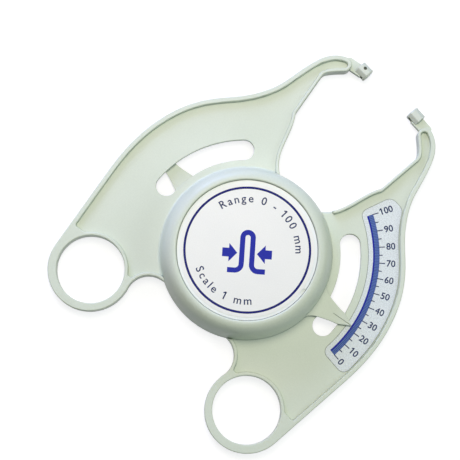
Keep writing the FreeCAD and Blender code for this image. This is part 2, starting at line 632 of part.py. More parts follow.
def scale_label():
    """A thin film on the web beside the slot, as far out as the rim lets it go."""
    bottom, top = WEB_TOP, WEB_TOP + LABEL_THICKNESS
    outer = shifted(outer_curve(), 20, RIM_OUTER + SCALE_LABEL_MARGIN)
    start = outer.value(outer.FirstParameter)
    end = outer.value(outer.LastParameter)
    corner = Vector(0, end.y, 0)
    edges = [
        outer.toShape(),
        Part.LineSegment(end, corner).toShape(),
        Part.LineSegment(corner, start).toShape(),
    ]
    film = prism(edges, bottom, top)
    film = film.cut(turned(disc(SCALE_LABEL_INNER, bottom - 1, top + 1), 180))
    lean = math.tan(math.radians(SCALE_LABEL_LEAN))
    outside = [
        (SCALE_LABEL_SIDE - lean * SCALE_LABEL_TOP, 0), (SCALE_LABEL_SIDE, SCALE_LABEL_TOP),
        (HALF_WIDTH, SCALE_LABEL_TOP), (HALF_WIDTH, REACH), (-HALF_WIDTH, REACH),
        (-HALF_WIDTH, -REACH), (HALF_WIDTH, -REACH), (HALF_WIDTH, -SCALE_LABEL_DROP), (0, -SCALE_LABEL_DROP),
    ]
    film = film.cut(polygon(outside, bottom - 1, top + 1))
    film = round_uprights(film, SCALE_LABEL_ROUND, lambda point: point.y < SCALE_LABEL_TOP - 1)
    return round_uprights(film, SCALE_LABEL_TOP_ROUND, lambda point: point.y > SCALE_LABEL_TOP - 1)


# Hub hardware


def dowel_places():
    return [polar(DOWEL_CIRCLE, 90), polar(DOWEL_CIRCLE, 270)]


def pivot_bolt():
    under_head = BOLT_HEAD_SINK + BOLT_HEAD_HEIGHT
    bolt = disc(BOLT_HEAD / 2, BOLT_HEAD_SINK, under_head)
    bolt = bolt.cut(hexagon(BOLT_SOCKET, BOLT_HEAD_SINK - 1, under_head - BOLT_HEAD_SINK))
    return bolt.fuse(disc(BOLT_DIAMETER / 2, under_head, NUT_TOP + BOLT_END)).removeSplitter()


def thrust_washer():
    inner = BOSS_RADIUS + BOLT_CLEARANCE
    return ring(THRUST_RADIUS, inner, DISC_HEIGHT, DISC_HEIGHT + THRUST_THICKNESS)


def hub_bush():
    inner = BOSS_RADIUS + BUSH_CLEARANCE
    bush = ring(BOSS_RADIUS + BUSH_WALL, inner, WEB_BOTTOM, WEB_TOP)
    flange = ring(BOSS_RADIUS + BUSH_WALL + BUSH_FLANGE, inner, WEB_TOP, WEB_TOP + BUSH_FLANGE_HEIGHT)
    return bush.fuse(flange).removeSplitter()


def wave_washer():
    bottom = WEB_TOP + BUSH_FLANGE_HEIGHT + AXIAL_GAP
    return ring(CENTRE_WELL - ARBOR_FLANGE, BOSS_RADIUS + BOLT_CLEARANCE, bottom, bottom + WAVE_THICKNESS)


def spring_arbor():
    arbor = disc(ARBOR_RADIUS, BOSS_TOP, ARBOR_TOP)
    arbor = arbor.fuse(disc(CENTRE_WELL - ARBOR_FLANGE, BOSS_TOP, BOSS_TOP + ARBOR_FLANGE_HEIGHT))
    arbor = arbor.cut(disc(BOLT_HOLE, BOSS_TOP - 1, ARBOR_TOP + 1))
    for place in dowel_places():
        arbor = arbor.cut(disc(DOWEL_DIAMETER / 2, BOSS_TOP - 1, BOSS_TOP + DOWEL_LENGTH / 2, place))
    return arbor.removeSplitter()


def arbor_dowels():
    pins = [
        disc(DOWEL_DIAMETER / 2, BOSS_TOP - DOWEL_LENGTH / 2, BOSS_TOP + DOWEL_LENGTH / 2, place)
        for place in dowel_places()
    ]
    return Part.makeCompound(pins)


def nut_washer():
    return ring(WASHER_DIAMETER / 2, BOLT_HOLE, ARBOR_TOP, NUT_BOTTOM)


def lock_nut():
    return hexagon(NUT_FLATS, NUT_BOTTOM, NUT_TOP).cut(disc(BOLT_DIAMETER / 2, NUT_BOTTOM - 1, NUT_TOP + 1))


def slip_disc():
    outer = HUB_RADIUS - HUB_WALL - CAP_CLEARANCE
    film = ring(outer, CENTRE_WELL, FLOOR_TOP, FLOOR_TOP + SLIP_THICKNESS)
    place = polar(POST_RADIUS, POST_ANGLE)
    return film.cut(disc(POST_DIAMETER / 2 + CAP_CLEARANCE, FLOOR_TOP - 1, FLOOR_TOP + 1, place))


def spring_side(offset):
    points = []
    steps = round(POINTS_PER_TURN * SPRING_TURNS)
    for i in range(steps + 1):
        turn = SPRING_TURNS * i / steps
        radius = SPRING_INNER + (SPRING_OUTER - SPRING_INNER) * turn / SPRING_TURNS + offset
        points.append(polar(radius, SPRING_START + 360 * turn))
    return spline(points)


def spiral_spring():
    """A flat strip wound from the arbor out to the post that stands in the housing."""
    inner = spring_side(-SPRING_STRIP / 2 + SPRING_SLACK)
    outer = spring_side(SPRING_STRIP / 2)
    edges = [
        inner.toShape(),
        outer.toShape(),
        Part.LineSegment(inner.StartPoint, outer.StartPoint).toShape(),
        Part.LineSegment(inner.EndPoint, outer.EndPoint).toShape(),
    ]
    return prism(edges, SPRING_BOTTOM, SPRING_BOTTOM + SPRING_WIDTH)


def spring_post():
    top = SPRING_BOTTOM + SPRING_WIDTH + 1
    return disc(POST_DIAMETER / 2, WEB_TOP, top, polar(POST_RADIUS, POST_ANGLE))


def pointer_tip(shape):
    return on_pointer_side(turned(shape, POINTER_TIP_TILT, TIP_PIN_PLACE))


PARTS = {
    "scale_arm": on_scale_side(scale_arm()),
    "scale_label": on_scale_side(scale_label()),
    "scale_arm_tip": on_scale_side(tip(False)),
    "scale_arm_tip_pin": on_scale_side(tip_pin()),
    "pointer_arm": on_pointer_side(pointer_arm()),
    "pointer_arm_tip": pointer_tip(tip(True)),
    "pointer_arm_tip_pin": pointer_tip(tip_pin()),
    "cap_disc": cap_disc(),
    "cap_label": cap_label(),
    "pivot_bolt": pivot_bolt(),
    "thrust_washer": thrust_washer(),
    "hub_bush": hub_bush(),
    "wave_washer": wave_washer(),
    "spring_arbor": on_scale_side(spring_arbor()),
    "arbor_dowels": on_scale_side(arbor_dowels()),
    "nut_washer": nut_washer(),
    "lock_nut": lock_nut(),
    "spring_slip_disc": slip_disc(),
    "spiral_spring": spiral_spring(),
    "spring_post": spring_post(),
}

os.makedirs("parts", exist_ok=True)
for name, shape in PARTS.items():
    shape.exportStep(f"parts/{name}.step")
    size = shape.BoundBox
    print(
        f"{name:22s} solids {len(shape.Solids)} valid {shape.isValid()} volume {shape.Volume:9.1f}"
        f" z {size.ZMin:.2f}..{size.ZMax:.2f}"
    )
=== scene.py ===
import math

import bmesh
import bpy
from mathutils import Matrix, Vector


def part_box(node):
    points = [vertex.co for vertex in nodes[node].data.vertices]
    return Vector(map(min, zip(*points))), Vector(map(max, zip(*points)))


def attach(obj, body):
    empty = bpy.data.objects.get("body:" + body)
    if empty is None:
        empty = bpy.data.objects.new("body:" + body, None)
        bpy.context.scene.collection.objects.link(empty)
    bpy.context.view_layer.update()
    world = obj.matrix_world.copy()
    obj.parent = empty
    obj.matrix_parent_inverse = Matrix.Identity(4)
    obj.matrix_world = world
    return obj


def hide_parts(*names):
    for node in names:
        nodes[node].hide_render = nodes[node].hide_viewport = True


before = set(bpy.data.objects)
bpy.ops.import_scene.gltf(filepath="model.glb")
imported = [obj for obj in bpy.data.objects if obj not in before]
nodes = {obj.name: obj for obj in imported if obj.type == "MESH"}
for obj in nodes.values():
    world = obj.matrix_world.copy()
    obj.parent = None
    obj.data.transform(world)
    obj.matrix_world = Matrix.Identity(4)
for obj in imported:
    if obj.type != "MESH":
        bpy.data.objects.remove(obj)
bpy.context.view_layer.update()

# A skinfold caliper lying on its back: +Z is the hub axis, +Y points to the jaws, the scale arm is on +X.
# Sizes are in metres, given as millimetres times MM.

MM = 0.001

REST_TURN = math.radians(7.2)    # each arm's turn from the closed jaws
REACH = 91.4 * MM                # pivot to the contact faces
WEB_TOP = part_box("scale_label")[0].z
FILM_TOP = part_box("scale_label")[1].z
CAP_FILM_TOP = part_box("cap_label")[1].z
RIM_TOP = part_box("scale_arm")[1].z
DOME_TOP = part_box("pointer_arm")[1].z
HUB_RADIUS = 35.8 * MM
INK = 0.02 * MM                  # thickness of the print
NEAR = 0.01 * MM                 # points closer than this count as one place
STILL_FLAT = math.radians(0.3)   # faces that bend less than this are one

# Roundings of the moulded edges
RIM_ROUND = 0.45 * MM
WEB_ROUND = 0.3 * MM
ROOT_ROUND = 1.0 * MM            # where the scale arm's edge runs in under the hub
NECK_ROUND = 1.1 * MM
POINTER_ROUND = 0.25 * MM
DOME_ROUND = 0.6 * MM
TIP_ROUND = 0.28 * MM
CAP_ROUND = 0.15 * MM


# Materials


def new_material(name):
    material = bpy.data.materials.new(name)
    material.use_nodes = True
    tree = material.node_tree
    return material, tree, tree.nodes["Principled BSDF"]


def noise(tree, place, scale, detail, rough=0.5):
    node = tree.nodes.new("ShaderNodeTexNoise")
    node.inputs["Scale"].default_value = scale
    node.inputs["Detail"].default_value = detail
    node.inputs["Roughness"].default_value = rough
    tree.links.new(place, node.inputs["Vector"])
    return node


def spread(tree, source, low, high, to_low, to_high):
    node = tree.nodes.new("ShaderNodeMapRange")
    node.inputs["From Min"].default_value = low
    node.inputs["From Max"].default_value = high
    node.inputs["To Min"].default_value = to_low
    node.inputs["To Max"].default_value = to_high
    tree.links.new(source, node.inputs["Value"])
    return node.outputs["Result"]


def share_of(tree, pattern, low=0.3, high=0.7):
    """How much of the second colour a pattern lets through, from 0 to 1."""
    return spread(tree, pattern.outputs["Fac"], low, high, 0, 1)


def vary_rough(tree, shader, pattern, smooth, dull, low=0.3, high=0.7):
    tree.links.new(spread(tree, pattern.outputs["Fac"], low, high, smooth, dull), shader.inputs["Roughness"])


def blend_colour(tree, factor, first, second, kind="MIX"):
    node = tree.nodes.new("ShaderNodeMix")
    node.data_type = "RGBA"
    node.blend_type = kind
    tree.links.new(factor, node.inputs[0])
    for value, socket in ((first, node.inputs[6]), (second, node.inputs[7])):
        if isinstance(value, tuple):
            socket.default_value = value + (1.0,)
        else:
            tree.links.new(value, socket)
    return node.outputs[2]


def object_place(tree, stretch=None):
    place = tree.nodes.new("ShaderNodeTexCoord").outputs["Object"]
    if stretch:
        mapping = tree.nodes.new("ShaderNodeMapping")
        mapping.inputs["Scale"].default_value = stretch
        tree.links.new(place, mapping.inputs["Vector"])
        place = mapping.outputs["Vector"]
    return place


def add_bump(tree, shader, height, distance, strength, under=None):
    bump = tree.nodes.new("ShaderNodeBump")
    bump.inputs["Distance"].default_value = distance
    bump.inputs["Strength"].default_value = strength
    tree.links.new(height, bump.inputs["Height"])
    if under:
        tree.links.new(under.outputs["Normal"], bump.inputs["Normal"])
    tree.links.new(bump.outputs["Normal"], shader.inputs["Normal"])
    return bump


# Painted shade: the plastic's colour is darkened in inner corners by ambient occlusion, not by the lamps.
PAINTED_SHADE_REACH = 0.65 * MM         # how far the dark of an inner corner spreads


def moulded_plastic(name, colour, rough, grain, painted_corner_shade):
    """Satin moulded plastic: faint flow clouds, a fine spark-eroded grain, handling scuffs, and painted shade in
    inner corners.
    """
    material, tree, shader = new_material(name)
    place = object_place(tree)
    clouds = noise(tree, place, 34, 3, 0.55)
    pale = tuple(min(1.0, c * 1.025) for c in colour)
    deep = (colour[0] * 0.965, colour[1] * 0.975, colour[2] * 0.955)
    tone = blend_colour(tree, share_of(tree, clouds), deep, pale)
    flecks = noise(tree, place, 1500, 2)
    tone = blend_colour(tree, share_of(tree, flecks, 0.35, 0.65), tone, (0.97, 0.97, 0.97), "MULTIPLY")
    # Painted shade: the colour is mixed towards the painted corner shade where the surface is closed in.
    corner = tree.nodes.new("ShaderNodeAmbientOcclusion")
    corner.inputs["Distance"].default_value = PAINTED_SHADE_REACH
    corner.samples = 8
    shade_share = spread(tree, corner.outputs["AO"], 0.35, 0.85, 1, 0)
    tone = blend_colour(tree, shade_share, tone, painted_corner_shade)
    tree.links.new(tone, shader.inputs["Base Color"])
    scuffs = noise(tree, object_place(tree, (260, 42, 42)), 9, 6, 0.7)
    vary_rough(tree, shader, scuffs, rough - 0.05, rough + 0.07, high=0.75)
    fine = noise(tree, place, 3600, 3, 0.6)
    soft = noise(tree, place, 120, 2)
    sway = add_bump(tree, shader, soft.outputs["Fac"], 0.05 * MM, 0.12)
    add_bump(tree, shader, fine.outputs["Fac"], 0.03 * MM, grain, sway)
    shader.inputs["IOR"].default_value = 1.5
    shader.inputs["Specular IOR Level"].default_value = 0.45
    return material


def gloss_plastic(name, colour, rough):
    """Polished plastic with faint clouds and finger smears."""
    material, tree, shader = new_material(name)
    place = object_place(tree)
    clouds = noise(tree, place, 55, 3)
    tone = blend_colour(tree, share_of(tree, clouds), tuple(c * 0.975 for c in colour), colour)
    tree.links.new(tone, shader.inputs["Base Color"])
    smears = noise(tree, place, 210, 4, 0.65)
    vary_rough(tree, shader, smears, rough, rough + 0.09, high=0.75)
    fine = noise(tree, place, 900, 3)
    add_bump(tree, shader, fine.outputs["Fac"], 0.02 * MM, 0.12)
    return material


def polyester_film(name, colour, rough, fleck):
    """Back-printed film: a sandy matt coat with tiny flecks under a thin clear gloss."""
    material, tree, shader = new_material(name)
    place = object_place(tree)
    sand = noise(tree, place, 2100, 4, 0.75)
    deep = tuple(c * (1 - fleck) for c in colour)
    pale = tuple(min(1, c * (1 + fleck / 2)) for c in colour)
    tone = blend_colour(tree, share_of(tree, sand, 0.38, 0.62), deep, pale)
    clouds = noise(tree, place, 70, 2)
    tone = blend_colour(tree, share_of(tree, clouds), tone, (0.975, 0.98, 0.985), "MULTIPLY")
    tree.links.new(tone, shader.inputs["Base Color"])
    vary_rough(tree, shader, sand, rough - 0.05, rough + 0.06)
    add_bump(tree, shader, sand.outputs["Fac"], 0.02 * MM, 0.2)
    shader.inputs["Coat Weight"].default_value = 0.12
    shader.inputs["Coat Roughness"].default_value = 0.25
    return material


def print_ink(name, colour, thin):
    """Screen-printed ink: a little uneven in cover, with the sandy film showing through where it is thin."""
    material, tree, shader = new_material(name)
    place = object_place(tree)
    cover = noise(tree, place, 1900, 4, 0.7)
    pale = tuple(c + (0.75 - c) * thin for c in colour)
    tone = blend_colour(tree, share_of(tree, cover, 0.5, 0.72), colour, pale)
    tree.links.new(tone, shader.inputs["Base Color"])
    vary_rough(tree, shader, cover, 0.45, 0.58)
    add_bump(tree, shader, cover.outputs["Fac"], 0.01 * MM, 0.15)
    shader.inputs["Specular IOR Level"].default_value = 0.2
    return material


def worked_metal(name, colour, rough, stretch, streak):
    """Plated or blued metal with fine drawing lines, dull patches and a soft sparkle."""
    material, tree, shader = new_material(name)
    place = object_place(tree)
    lines = noise(tree, object_place(tree, stretch), 60, 5, 0.65)
    patches = noise(tree, place, 420, 3)
    tone = blend_colour(tree, share_of(tree, patches), tuple(c * 0.86 for c in colour), colour)
    tone = blend_colour(tree, share_of(tree, lines, 0.35, 0.65), tone, (0.9, 0.9, 0.9), "MULTIPLY")
    tree.links.new(tone, shader.inputs["Base Color"])
    shader.inputs["Metallic"].default_value = 1.0
    vary_rough(tree, shader, lines, rough - 0.06, rough + 0.12)
    add_bump(tree, shader, lines.outputs["Fac"], 0.02 * MM, streak)
    return material


def clear_slip_film(name):
    """Smooth, slightly hazy film."""
    material, tree, shader = new_material(name)
    place = object_place(tree)
    haze = noise(tree, place, 300, 4)
    tone = blend_colour(tree, share_of(tree, haze), (0.66, 0.68, 0.7), (0.76, 0.77, 0.79))
    tree.links.new(tone, shader.inputs["Base Color"])
    vary_rough(tree, shader, haze, 0.3, 0.45)
    add_bump(tree, shader, haze.outputs["Fac"], 0.02 * MM, 0.15)
    shader.inputs["Coat Weight"].default_value = 0.3
    return material


# The last colour of each moulded plastic is the painted shade laid into its inner corners.
arm_plastic = moulded_plastic("arm_plastic", (0.677, 0.734, 0.606), 0.42, 0.16, (0.27, 0.33, 0.24))
tip_plastic = moulded_plastic("tip_plastic", (0.66, 0.70, 0.60), 0.38, 0.12, (0.24, 0.29, 0.18))
cap_plastic = gloss_plastic("cap_plastic", (0.82, 0.86, 0.82), 0.2)
cap_film = polyester_film("cap_film", (0.84, 0.84, 0.78), 0.36, 0.03)
scale_film = polyester_film("scale_film", (0.75, 0.80, 0.78), 0.45, 0.20)
line_blue = print_ink("line_blue", (0.008, 0.016, 0.30), 0.04)
ring_blue = print_ink("ring_blue", (0.003, 0.007, 0.14), 0.03)
sign_blue = print_ink("sign_blue", (0.008, 0.018, 0.34), 0.02)
band_blue = print_ink("band_blue", (0.080, 0.148, 0.42), 0.10)
letter_slate = print_ink("letter_slate", (0.010, 0.024, 0.095), 0.05)
zinc = worked_metal("zinc_steel", (0.62, 0.63, 0.64), 0.32, (1, 1, 14), 0.12)
blued_strip = worked_metal("spring_steel", (0.20, 0.22, 0.27), 0.34, (1, 1, 9), 0.14)
acetal = moulded_plastic("bush_plastic", (0.82, 0.81, 0.76), 0.34, 0.05, (0.5, 0.48, 0.42))
slip_film = clear_slip_film("slip_film")
blued_pin = worked_metal("blued_pin", (0.075, 0.085, 0.075), 0.4, (1, 1, 14), 0.1)


def dress(obj, material):
    obj.data.materials.clear()
    obj.data.materials.append(material)


KEPT_NODES = {
    "scale_arm_tip_pin": blued_pin, "pointer_arm_tip_pin": blued_pin, "pivot_bolt": zinc, "arbor_dowels": zinc,
    "nut_washer": zinc, "lock_nut": zinc, "spring_post": zinc, "spiral_spring": blued_strip,
    "wave_washer": blued_strip, "thrust_washer": acetal, "hub_bush": acetal, "spring_arbor": acetal,
    "spring_slip_disc": slip_film,
}
for node, material in KEPT_NODES.items():
    dress(nodes[node], material)


# Making pieces


def on_circle(radius, angle):
    return Vector((radius * math.cos(angle), radius * math.sin(angle), 0))


def let_go():
    bpy.ops.object.select_all(action="DESELECT")


def take(obj):
    let_go()
    obj.select_set(True)
    bpy.context.view_layer.objects.active = obj


def fix_place():
    """Puts the place of what is selected into its mesh."""
    bpy.ops.object.transform_apply(location=True, rotation=True, scale=True)


def finish_modifier(obj, modifier):
    take(obj)
    bpy.ops.object.modifier_apply(modifier=modifier.name)


def edit(obj, kind="EDGE"):
    take(obj)
    bpy.ops.object.mode_set(mode="EDIT")
    bpy.ops.mesh.select_mode(type=kind)


def done():
    bpy.ops.object.mode_set(mode="OBJECT")


def pick_all():
    bpy.ops.mesh.select_all(action="SELECT")


def close_up():
    """Merges corners that meet and turns the faces outwards, in edit mode."""
    pick_all()
    bpy.ops.mesh.remove_doubles(threshold=NEAR / 10)
    bpy.ops.mesh.normals_make_consistent(inside=False)


def settle(obj, angle=32, flat_faces=False):
    """Fixes the place of a piece and smooths its rounded faces, and can keep its flat ones quite flat.

    Edges sharper than the angle, in degrees, stay crisp.
    """
    take(obj)
    fix_place()
    bpy.ops.object.shade_smooth_by_angle(angle=math.radians(angle))
    if flat_faces:
        even = obj.modifiers.new("even", "WEIGHTED_NORMAL")
        even.mode = "FACE_AREA"
        even.weight = 100
        even.keep_sharp = True
        finish_modifier(obj, even)


def pick_edges(obj, chosen):
    """Selects the edges of obj for which chosen(a, b, angle) holds, and counts them.

    It works in edit mode. The angle of a hollow edge is below 0.
    """
    mesh = bmesh.from_edit_mesh(obj.data)
    count = 0
    for edge in mesh.edges:
        angle = edge.calc_face_angle_signed(0.0)
        take_it = bool(chosen(edge.verts[0].co, edge.verts[1].co, angle))
        edge.select = take_it
        count += take_it
    mesh.select_flush_mode()
    bmesh.update_edit_mesh(obj.data)
    return count


def merged_copy(node, name):
    """A copy of a CAD node with its loose triangles merged and its flat faces whole again."""
    obj = nodes[node].copy()
    obj.data = nodes[node].data.copy()
    obj.name = name
    obj.parent = None
    for key in list(obj.keys()):
        del obj[key]
    bpy.context.scene.collection.objects.link(obj)
    take(obj)
    if obj.data.has_custom_normals:
        bpy.ops.mesh.customdata_custom_splitnormals_clear()
    edit(obj)
    pick_all()
    bpy.ops.mesh.remove_doubles(threshold=NEAR / 5)
    bpy.ops.mesh.dissolve_limited(angle_limit=STILL_FLAT)
    done()
    return obj


def round_edges(obj, width, chosen, segments=3):
    edit(obj)
    if pick_edges(obj, chosen):
        bpy.ops.mesh.bevel(
            offset=width, offset_type="OFFSET", segments=segments, profile=0.5, affect="EDGES", clamp_overlap=False
        )
    done()


def level(a, b, *heights):
    return any(abs(a.z - h) < NEAR and abs(b.z - h) < NEAR for h in heights)


def upright(a, b, length):
    """True for an upright edge that is longer than length."""
    return math.hypot(a.x - b.x, a.y - b.y) < 2 * NEAR and abs(a.z - b.z) > length


def sharp(angle, limit=40):
    return angle > math.radians(limit)


# The two arms


scale_moulding = merged_copy("scale_arm", "scale_arm_moulding")
pointer_moulding = merged_copy("pointer_arm", "pointer_arm_moulding")

POINTER_TOP = 6.2 * MM
POINTER_ROOT = HUB_RADIUS - 3 * MM
POINTER_SIDE = 9 * MM            # more than half the pointer's width

# A fine index groove runs along the pointer's top, almost to its tip.
GROOVE_START = 43.6 * MM
GROOVE_END = 52.0 * MM
GROOVE_HALF = 0.13 * MM
GROOVE_DEPTH = 0.35 * MM
along = on_circle(1, REST_TURN)
across = on_circle(1, REST_TURN + math.pi / 2)


def on_pointer_top(point):
    near = point.dot(along) > POINTER_ROOT and abs(point.dot(across)) < POINTER_SIDE
    return near and abs(point.z - POINTER_TOP) < NEAR


def in_groove(point):
    out = point.dot(along)
    within = GROOVE_START - NEAR < out < GROOVE_END + NEAR and abs(point.dot(across)) < 1.1 * GROOVE_HALF
    return on_pointer_top(point) and within


def pick_faces(obj, chosen):
    mesh = bmesh.from_edit_mesh(obj.data)
    for face in mesh.faces:
        face.select = all(chosen(v.co) for v in face.verts)
    bmesh.update_edit_mesh(obj.data)


edit(pointer_moulding, "FACE")
for way, distance in ((across, GROOVE_HALF), (across, -GROOVE_HALF), (along, GROOVE_START), (along, GROOVE_END)):
    pick_faces(pointer_moulding, on_pointer_top)
    bpy.ops.mesh.bisect(plane_co=way * distance, plane_no=way)
pick_faces(pointer_moulding, in_groove)
bpy.ops.mesh.extrude_region_move(TRANSFORM_OT_translate={"value": (0, 0, -GROOVE_DEPTH)})
done()


def rim_edges(a, b, angle):
    return sharp(angle) and level(a, b, RIM_TOP, 0.0)


def pointer_edges(a, b, angle):
    return sharp(angle) and on_pointer_top(a) and on_pointer_top(b) and not (in_groove(a) and in_groove(b))


def dome_edges(a, b, angle):
    return sharp(angle) and level(a, b, DOME_TOP)


ROOT_REACH = 4.5 * MM            # length of the open edge outside the hub
ROOT_START = math.radians(58)    # its direction from the hub axis


def beside_hub(point):
    """True for the stretch of the scale arm's edge between its jaw rim and the hub."""
    reach = math.hypot(point.x, point.y)
    return HUB_RADIUS < reach < HUB_RADIUS + ROOT_REACH and math.atan2(point.y, point.x) > ROOT_START


def root_edges(a, b, angle):
    return sharp(angle) and level(a, b, WEB_TOP) and (beside_hub(a) or beside_hub(b))


NECK_CORNER = Vector((23.3, 91.65)) * MM
NECK_CORNER_ROOM = 0.5 * MM


def neck_corner(a, b, angle):
    """True for the upright edge where a neck leaves the outside of its arm."""
    close = max(abs(abs(a.x) - NECK_CORNER.x), abs(a.y - NECK_CORNER.y)) < NECK_CORNER_ROOM
    return close and upright(a, b, 1 * MM) and sharp(angle, 60)


def loop_spur(a, b, angle):
    """True for the upright edge of the small spur where the arm's side runs into its loop."""
    return upright(a, b, 0.98 * RIM_TOP) and sharp(angle, 50) and a.y < -HUB_RADIUS


def take_off_spur(obj):
    edit(obj)
    if pick_edges(obj, loop_spur):
        bpy.ops.mesh.dissolve_edges(use_verts=True)
    done()


def web_edges(a, b, angle):
    return sharp(angle) and level(a, b, WEB_TOP) and min(a.length, b.length) > HUB_RADIUS


LABEL_GAP = 0.2 * MM
LABEL_GAP_DEPTH = 0.25 * MM


def cut_label_gap(obj):
    """Cuts a fine gap round the scale film into the web."""
    gap = merged_copy("scale_label", "label_gap")
    edit(gap, "FACE")
    mesh = bmesh.from_edit_mesh(gap.data)
    for face in mesh.faces:
        face.select = abs(face.normal.z) > 0.5
    bmesh.update_edit_mesh(gap.data)
    bpy.ops.mesh.delete(type="ONLY_FACE")
    bpy.ops.mesh.select_mode(type="VERT")
    middle = (WEB_TOP + FILM_TOP) / 2
    for high, rise in ((True, WEB_TOP + LABEL_GAP_DEPTH - FILM_TOP), (False, -LABEL_GAP_DEPTH)):
        mesh = bmesh.from_edit_mesh(gap.data)
        for vert in mesh.verts:
            vert.select = (vert.co.z > middle) == high
        mesh.select_flush_mode()
        bmesh.update_edit_mesh(gap.data)
        bpy.ops.transform.translate(value=(0, 0, rise))
    done()
    wall = gap.modifiers.new("wall", "SOLIDIFY")
    wall.thickness = LABEL_GAP
    wall.offset = 1
    wall.use_even_offset = True
    finish_modifier(gap, wall)
    cut = obj.modifiers.new("gap", "BOOLEAN")
    cut.operation = "DIFFERENCE"
    cut.solver = "EXACT"
    cut.object = gap
    finish_modifier(obj, cut)
    bpy.data.objects.remove(gap)


round_edges(scale_moulding, ROOT_ROUND, root_edges, 4)
round_edges(scale_moulding, WEB_ROUND, web_edges, 2)
cut_label_gap(scale_moulding)
round_edges(pointer_moulding, WEB_ROUND, web_edges, 2)
round_edges(pointer_moulding, POINTER_ROUND, pointer_edges, 2)
round_edges(pointer_moulding, DOME_ROUND, dome_edges, 4)
for moulding, node in ((scale_moulding, "scale_arm"), (pointer_moulding, "pointer_arm")):
    take_off_spur(moulding)
    round_edges(moulding, NECK_ROUND, neck_corner, 5)
    round_edges(moulding, RIM_ROUND, rim_edges)
    settle(moulding, 30, flat_faces=True)
    dress(moulding, arm_plastic)
    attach(moulding, node)
    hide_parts(node)


# Tips


PIN_MOUTH = 1.3 * MM             # from the pin's axis to where a tip's own edges start

for node in ("scale_arm_tip", "pointer_arm_tip"):
    piece = merged_copy(node, node + "_moulding")
    low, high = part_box(node + "_pin")
    pin = (low + high) / 2

    def off_pin(a, b, angle):
        """True for the tip's edges, but not for the mouth of its pin hole."""
        return sharp(angle, 25) and all(math.hypot(p.x - pin.x, p.y - pin.y) > PIN_MOUTH for p in (a, b))

    round_edges(piece, TIP_ROUND, off_pin)
    settle(piece, 30, flat_faces=True)
    dress(piece, tip_plastic)
    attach(piece, node)
    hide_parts(node)


# Cap and films


cap = merged_copy("cap_disc", "cap_moulding")
cap_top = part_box("cap_disc")[1].z
round_edges(cap, CAP_ROUND, lambda a, b, angle: sharp(angle) and level(a, b, cap_top), 2)
settle(cap, 30, flat_faces=True)
dress(cap, cap_plastic)
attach(cap, "pointer_arm")
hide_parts("cap_disc")

dress(nodes["cap_label"], cap_film)
dress(nodes["scale_label"], scale_film)


# Print


def printed(obj, material, body):
    settle(obj)
    dress(obj, material)
    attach(obj, body)


def join(pieces, name):
    let_go()
    for piece in pieces:
        piece.select_set(True)
    bpy.context.view_layer.objects.active = pieces[0]
    if len(pieces) > 1:
        bpy.ops.object.join()
    pieces[0].name = name
    return pieces[0]


def printed_band(name, inner, outer, start, end, height, steps):
    """A thin curved band of ink between two angles about the hub axis."""
    let_go()
    middle = (inner + outer) / 2
    place = on_circle(middle, start)
    bpy.ops.mesh.primitive_plane_add(
        size=1, location=(place.x, place.y, height + INK / 2), rotation=(math.pi / 2, 0, start)
    )
    obj = bpy.context.object
    obj.name = name
    obj.scale = (outer - inner, INK, 1)
    fix_place()
    edit(obj, "FACE")
    pick_all()
    if end - start == 2 * math.pi:
        bpy.ops.mesh.delete(type="ONLY_FACE")    # a whole ring has no ends
        bpy.ops.mesh.select_mode(type="EDGE")
        pick_all()
    bpy.ops.mesh.spin(steps=steps, angle=start - end, center=(0, 0, 0), axis=(0, 0, 1))
    close_up()
    done()
    return obj


def tick(start, end, width, angle, height):
    """A straight mark between two radii."""
    let_go()
    place = on_circle((start + end) / 2, angle)
    bpy.ops.mesh.primitive_cube_add(
        size=1, location=(place.x, place.y, height + INK / 2), rotation=(0, 0, angle), scale=(end - start, width, INK)
    )
    return bpy.context.object


# The flag at the top of a figure one, as shares of the lettering's size
BAR_MIDDLE = 0.251               # from the figure's left edge to the middle of its bar
FLAG_ASIDE = 0.12                # from there to the flag's middle
FLAG_UP = 0.275
FLAG_LONG = 0.2
FLAG_WIDE = 0.11
FLAG_TILT = math.radians(40)


def flag_of_one(obj, size, middle):
    """Gives a figure one, a plain bar so far, the flag at its top."""
    let_go()
    bpy.ops.mesh.primitive_cube_add(
        size=1, location=(middle - FLAG_ASIDE * size, FLAG_UP * size, 0), rotation=(0, 0, FLAG_TILT),
        scale=(FLAG_LONG * size, FLAG_WIDE * size, INK),
    )
    flag = bpy.context.object
    fix_place()
    join([obj, flag], obj.name)


def lettering(text, size, place, turn, height, align="LEFT", bold=0.0):
    """Flat lettering made a mesh, with its middle line at place and its baseline turned."""
    let_go()
    bpy.ops.object.text_add(location=(0, 0, 0))
    obj = bpy.context.object
    obj.data.body = text
    obj.data.size = size
    obj.data.align_x = align
    obj.data.align_y = "CENTER"
    obj.data.extrude = INK / 2
    obj.data.offset = bold
    obj.data.resolution_u = 3
    take(obj)
    bpy.ops.object.convert(target="MESH")
    edit(obj)
    pick_all()
    bpy.ops.mesh.remove_doubles(threshold=NEAR / 20)
    done()
    if text[0] == "1":
        flag_of_one(obj, size, BAR_MIDDLE * size if align == "LEFT" else 0)
    obj.location = (place.x, place.y, height + INK / 2)
    obj.rotation_euler = (0, 0, turn)
    return obj


def scale_angle(gap):
    """The direction of the mark for a gap in millimetres, with the arms at rest."""
    return 2 * math.asin(gap * MM / 2 / REACH) - REST_TURN


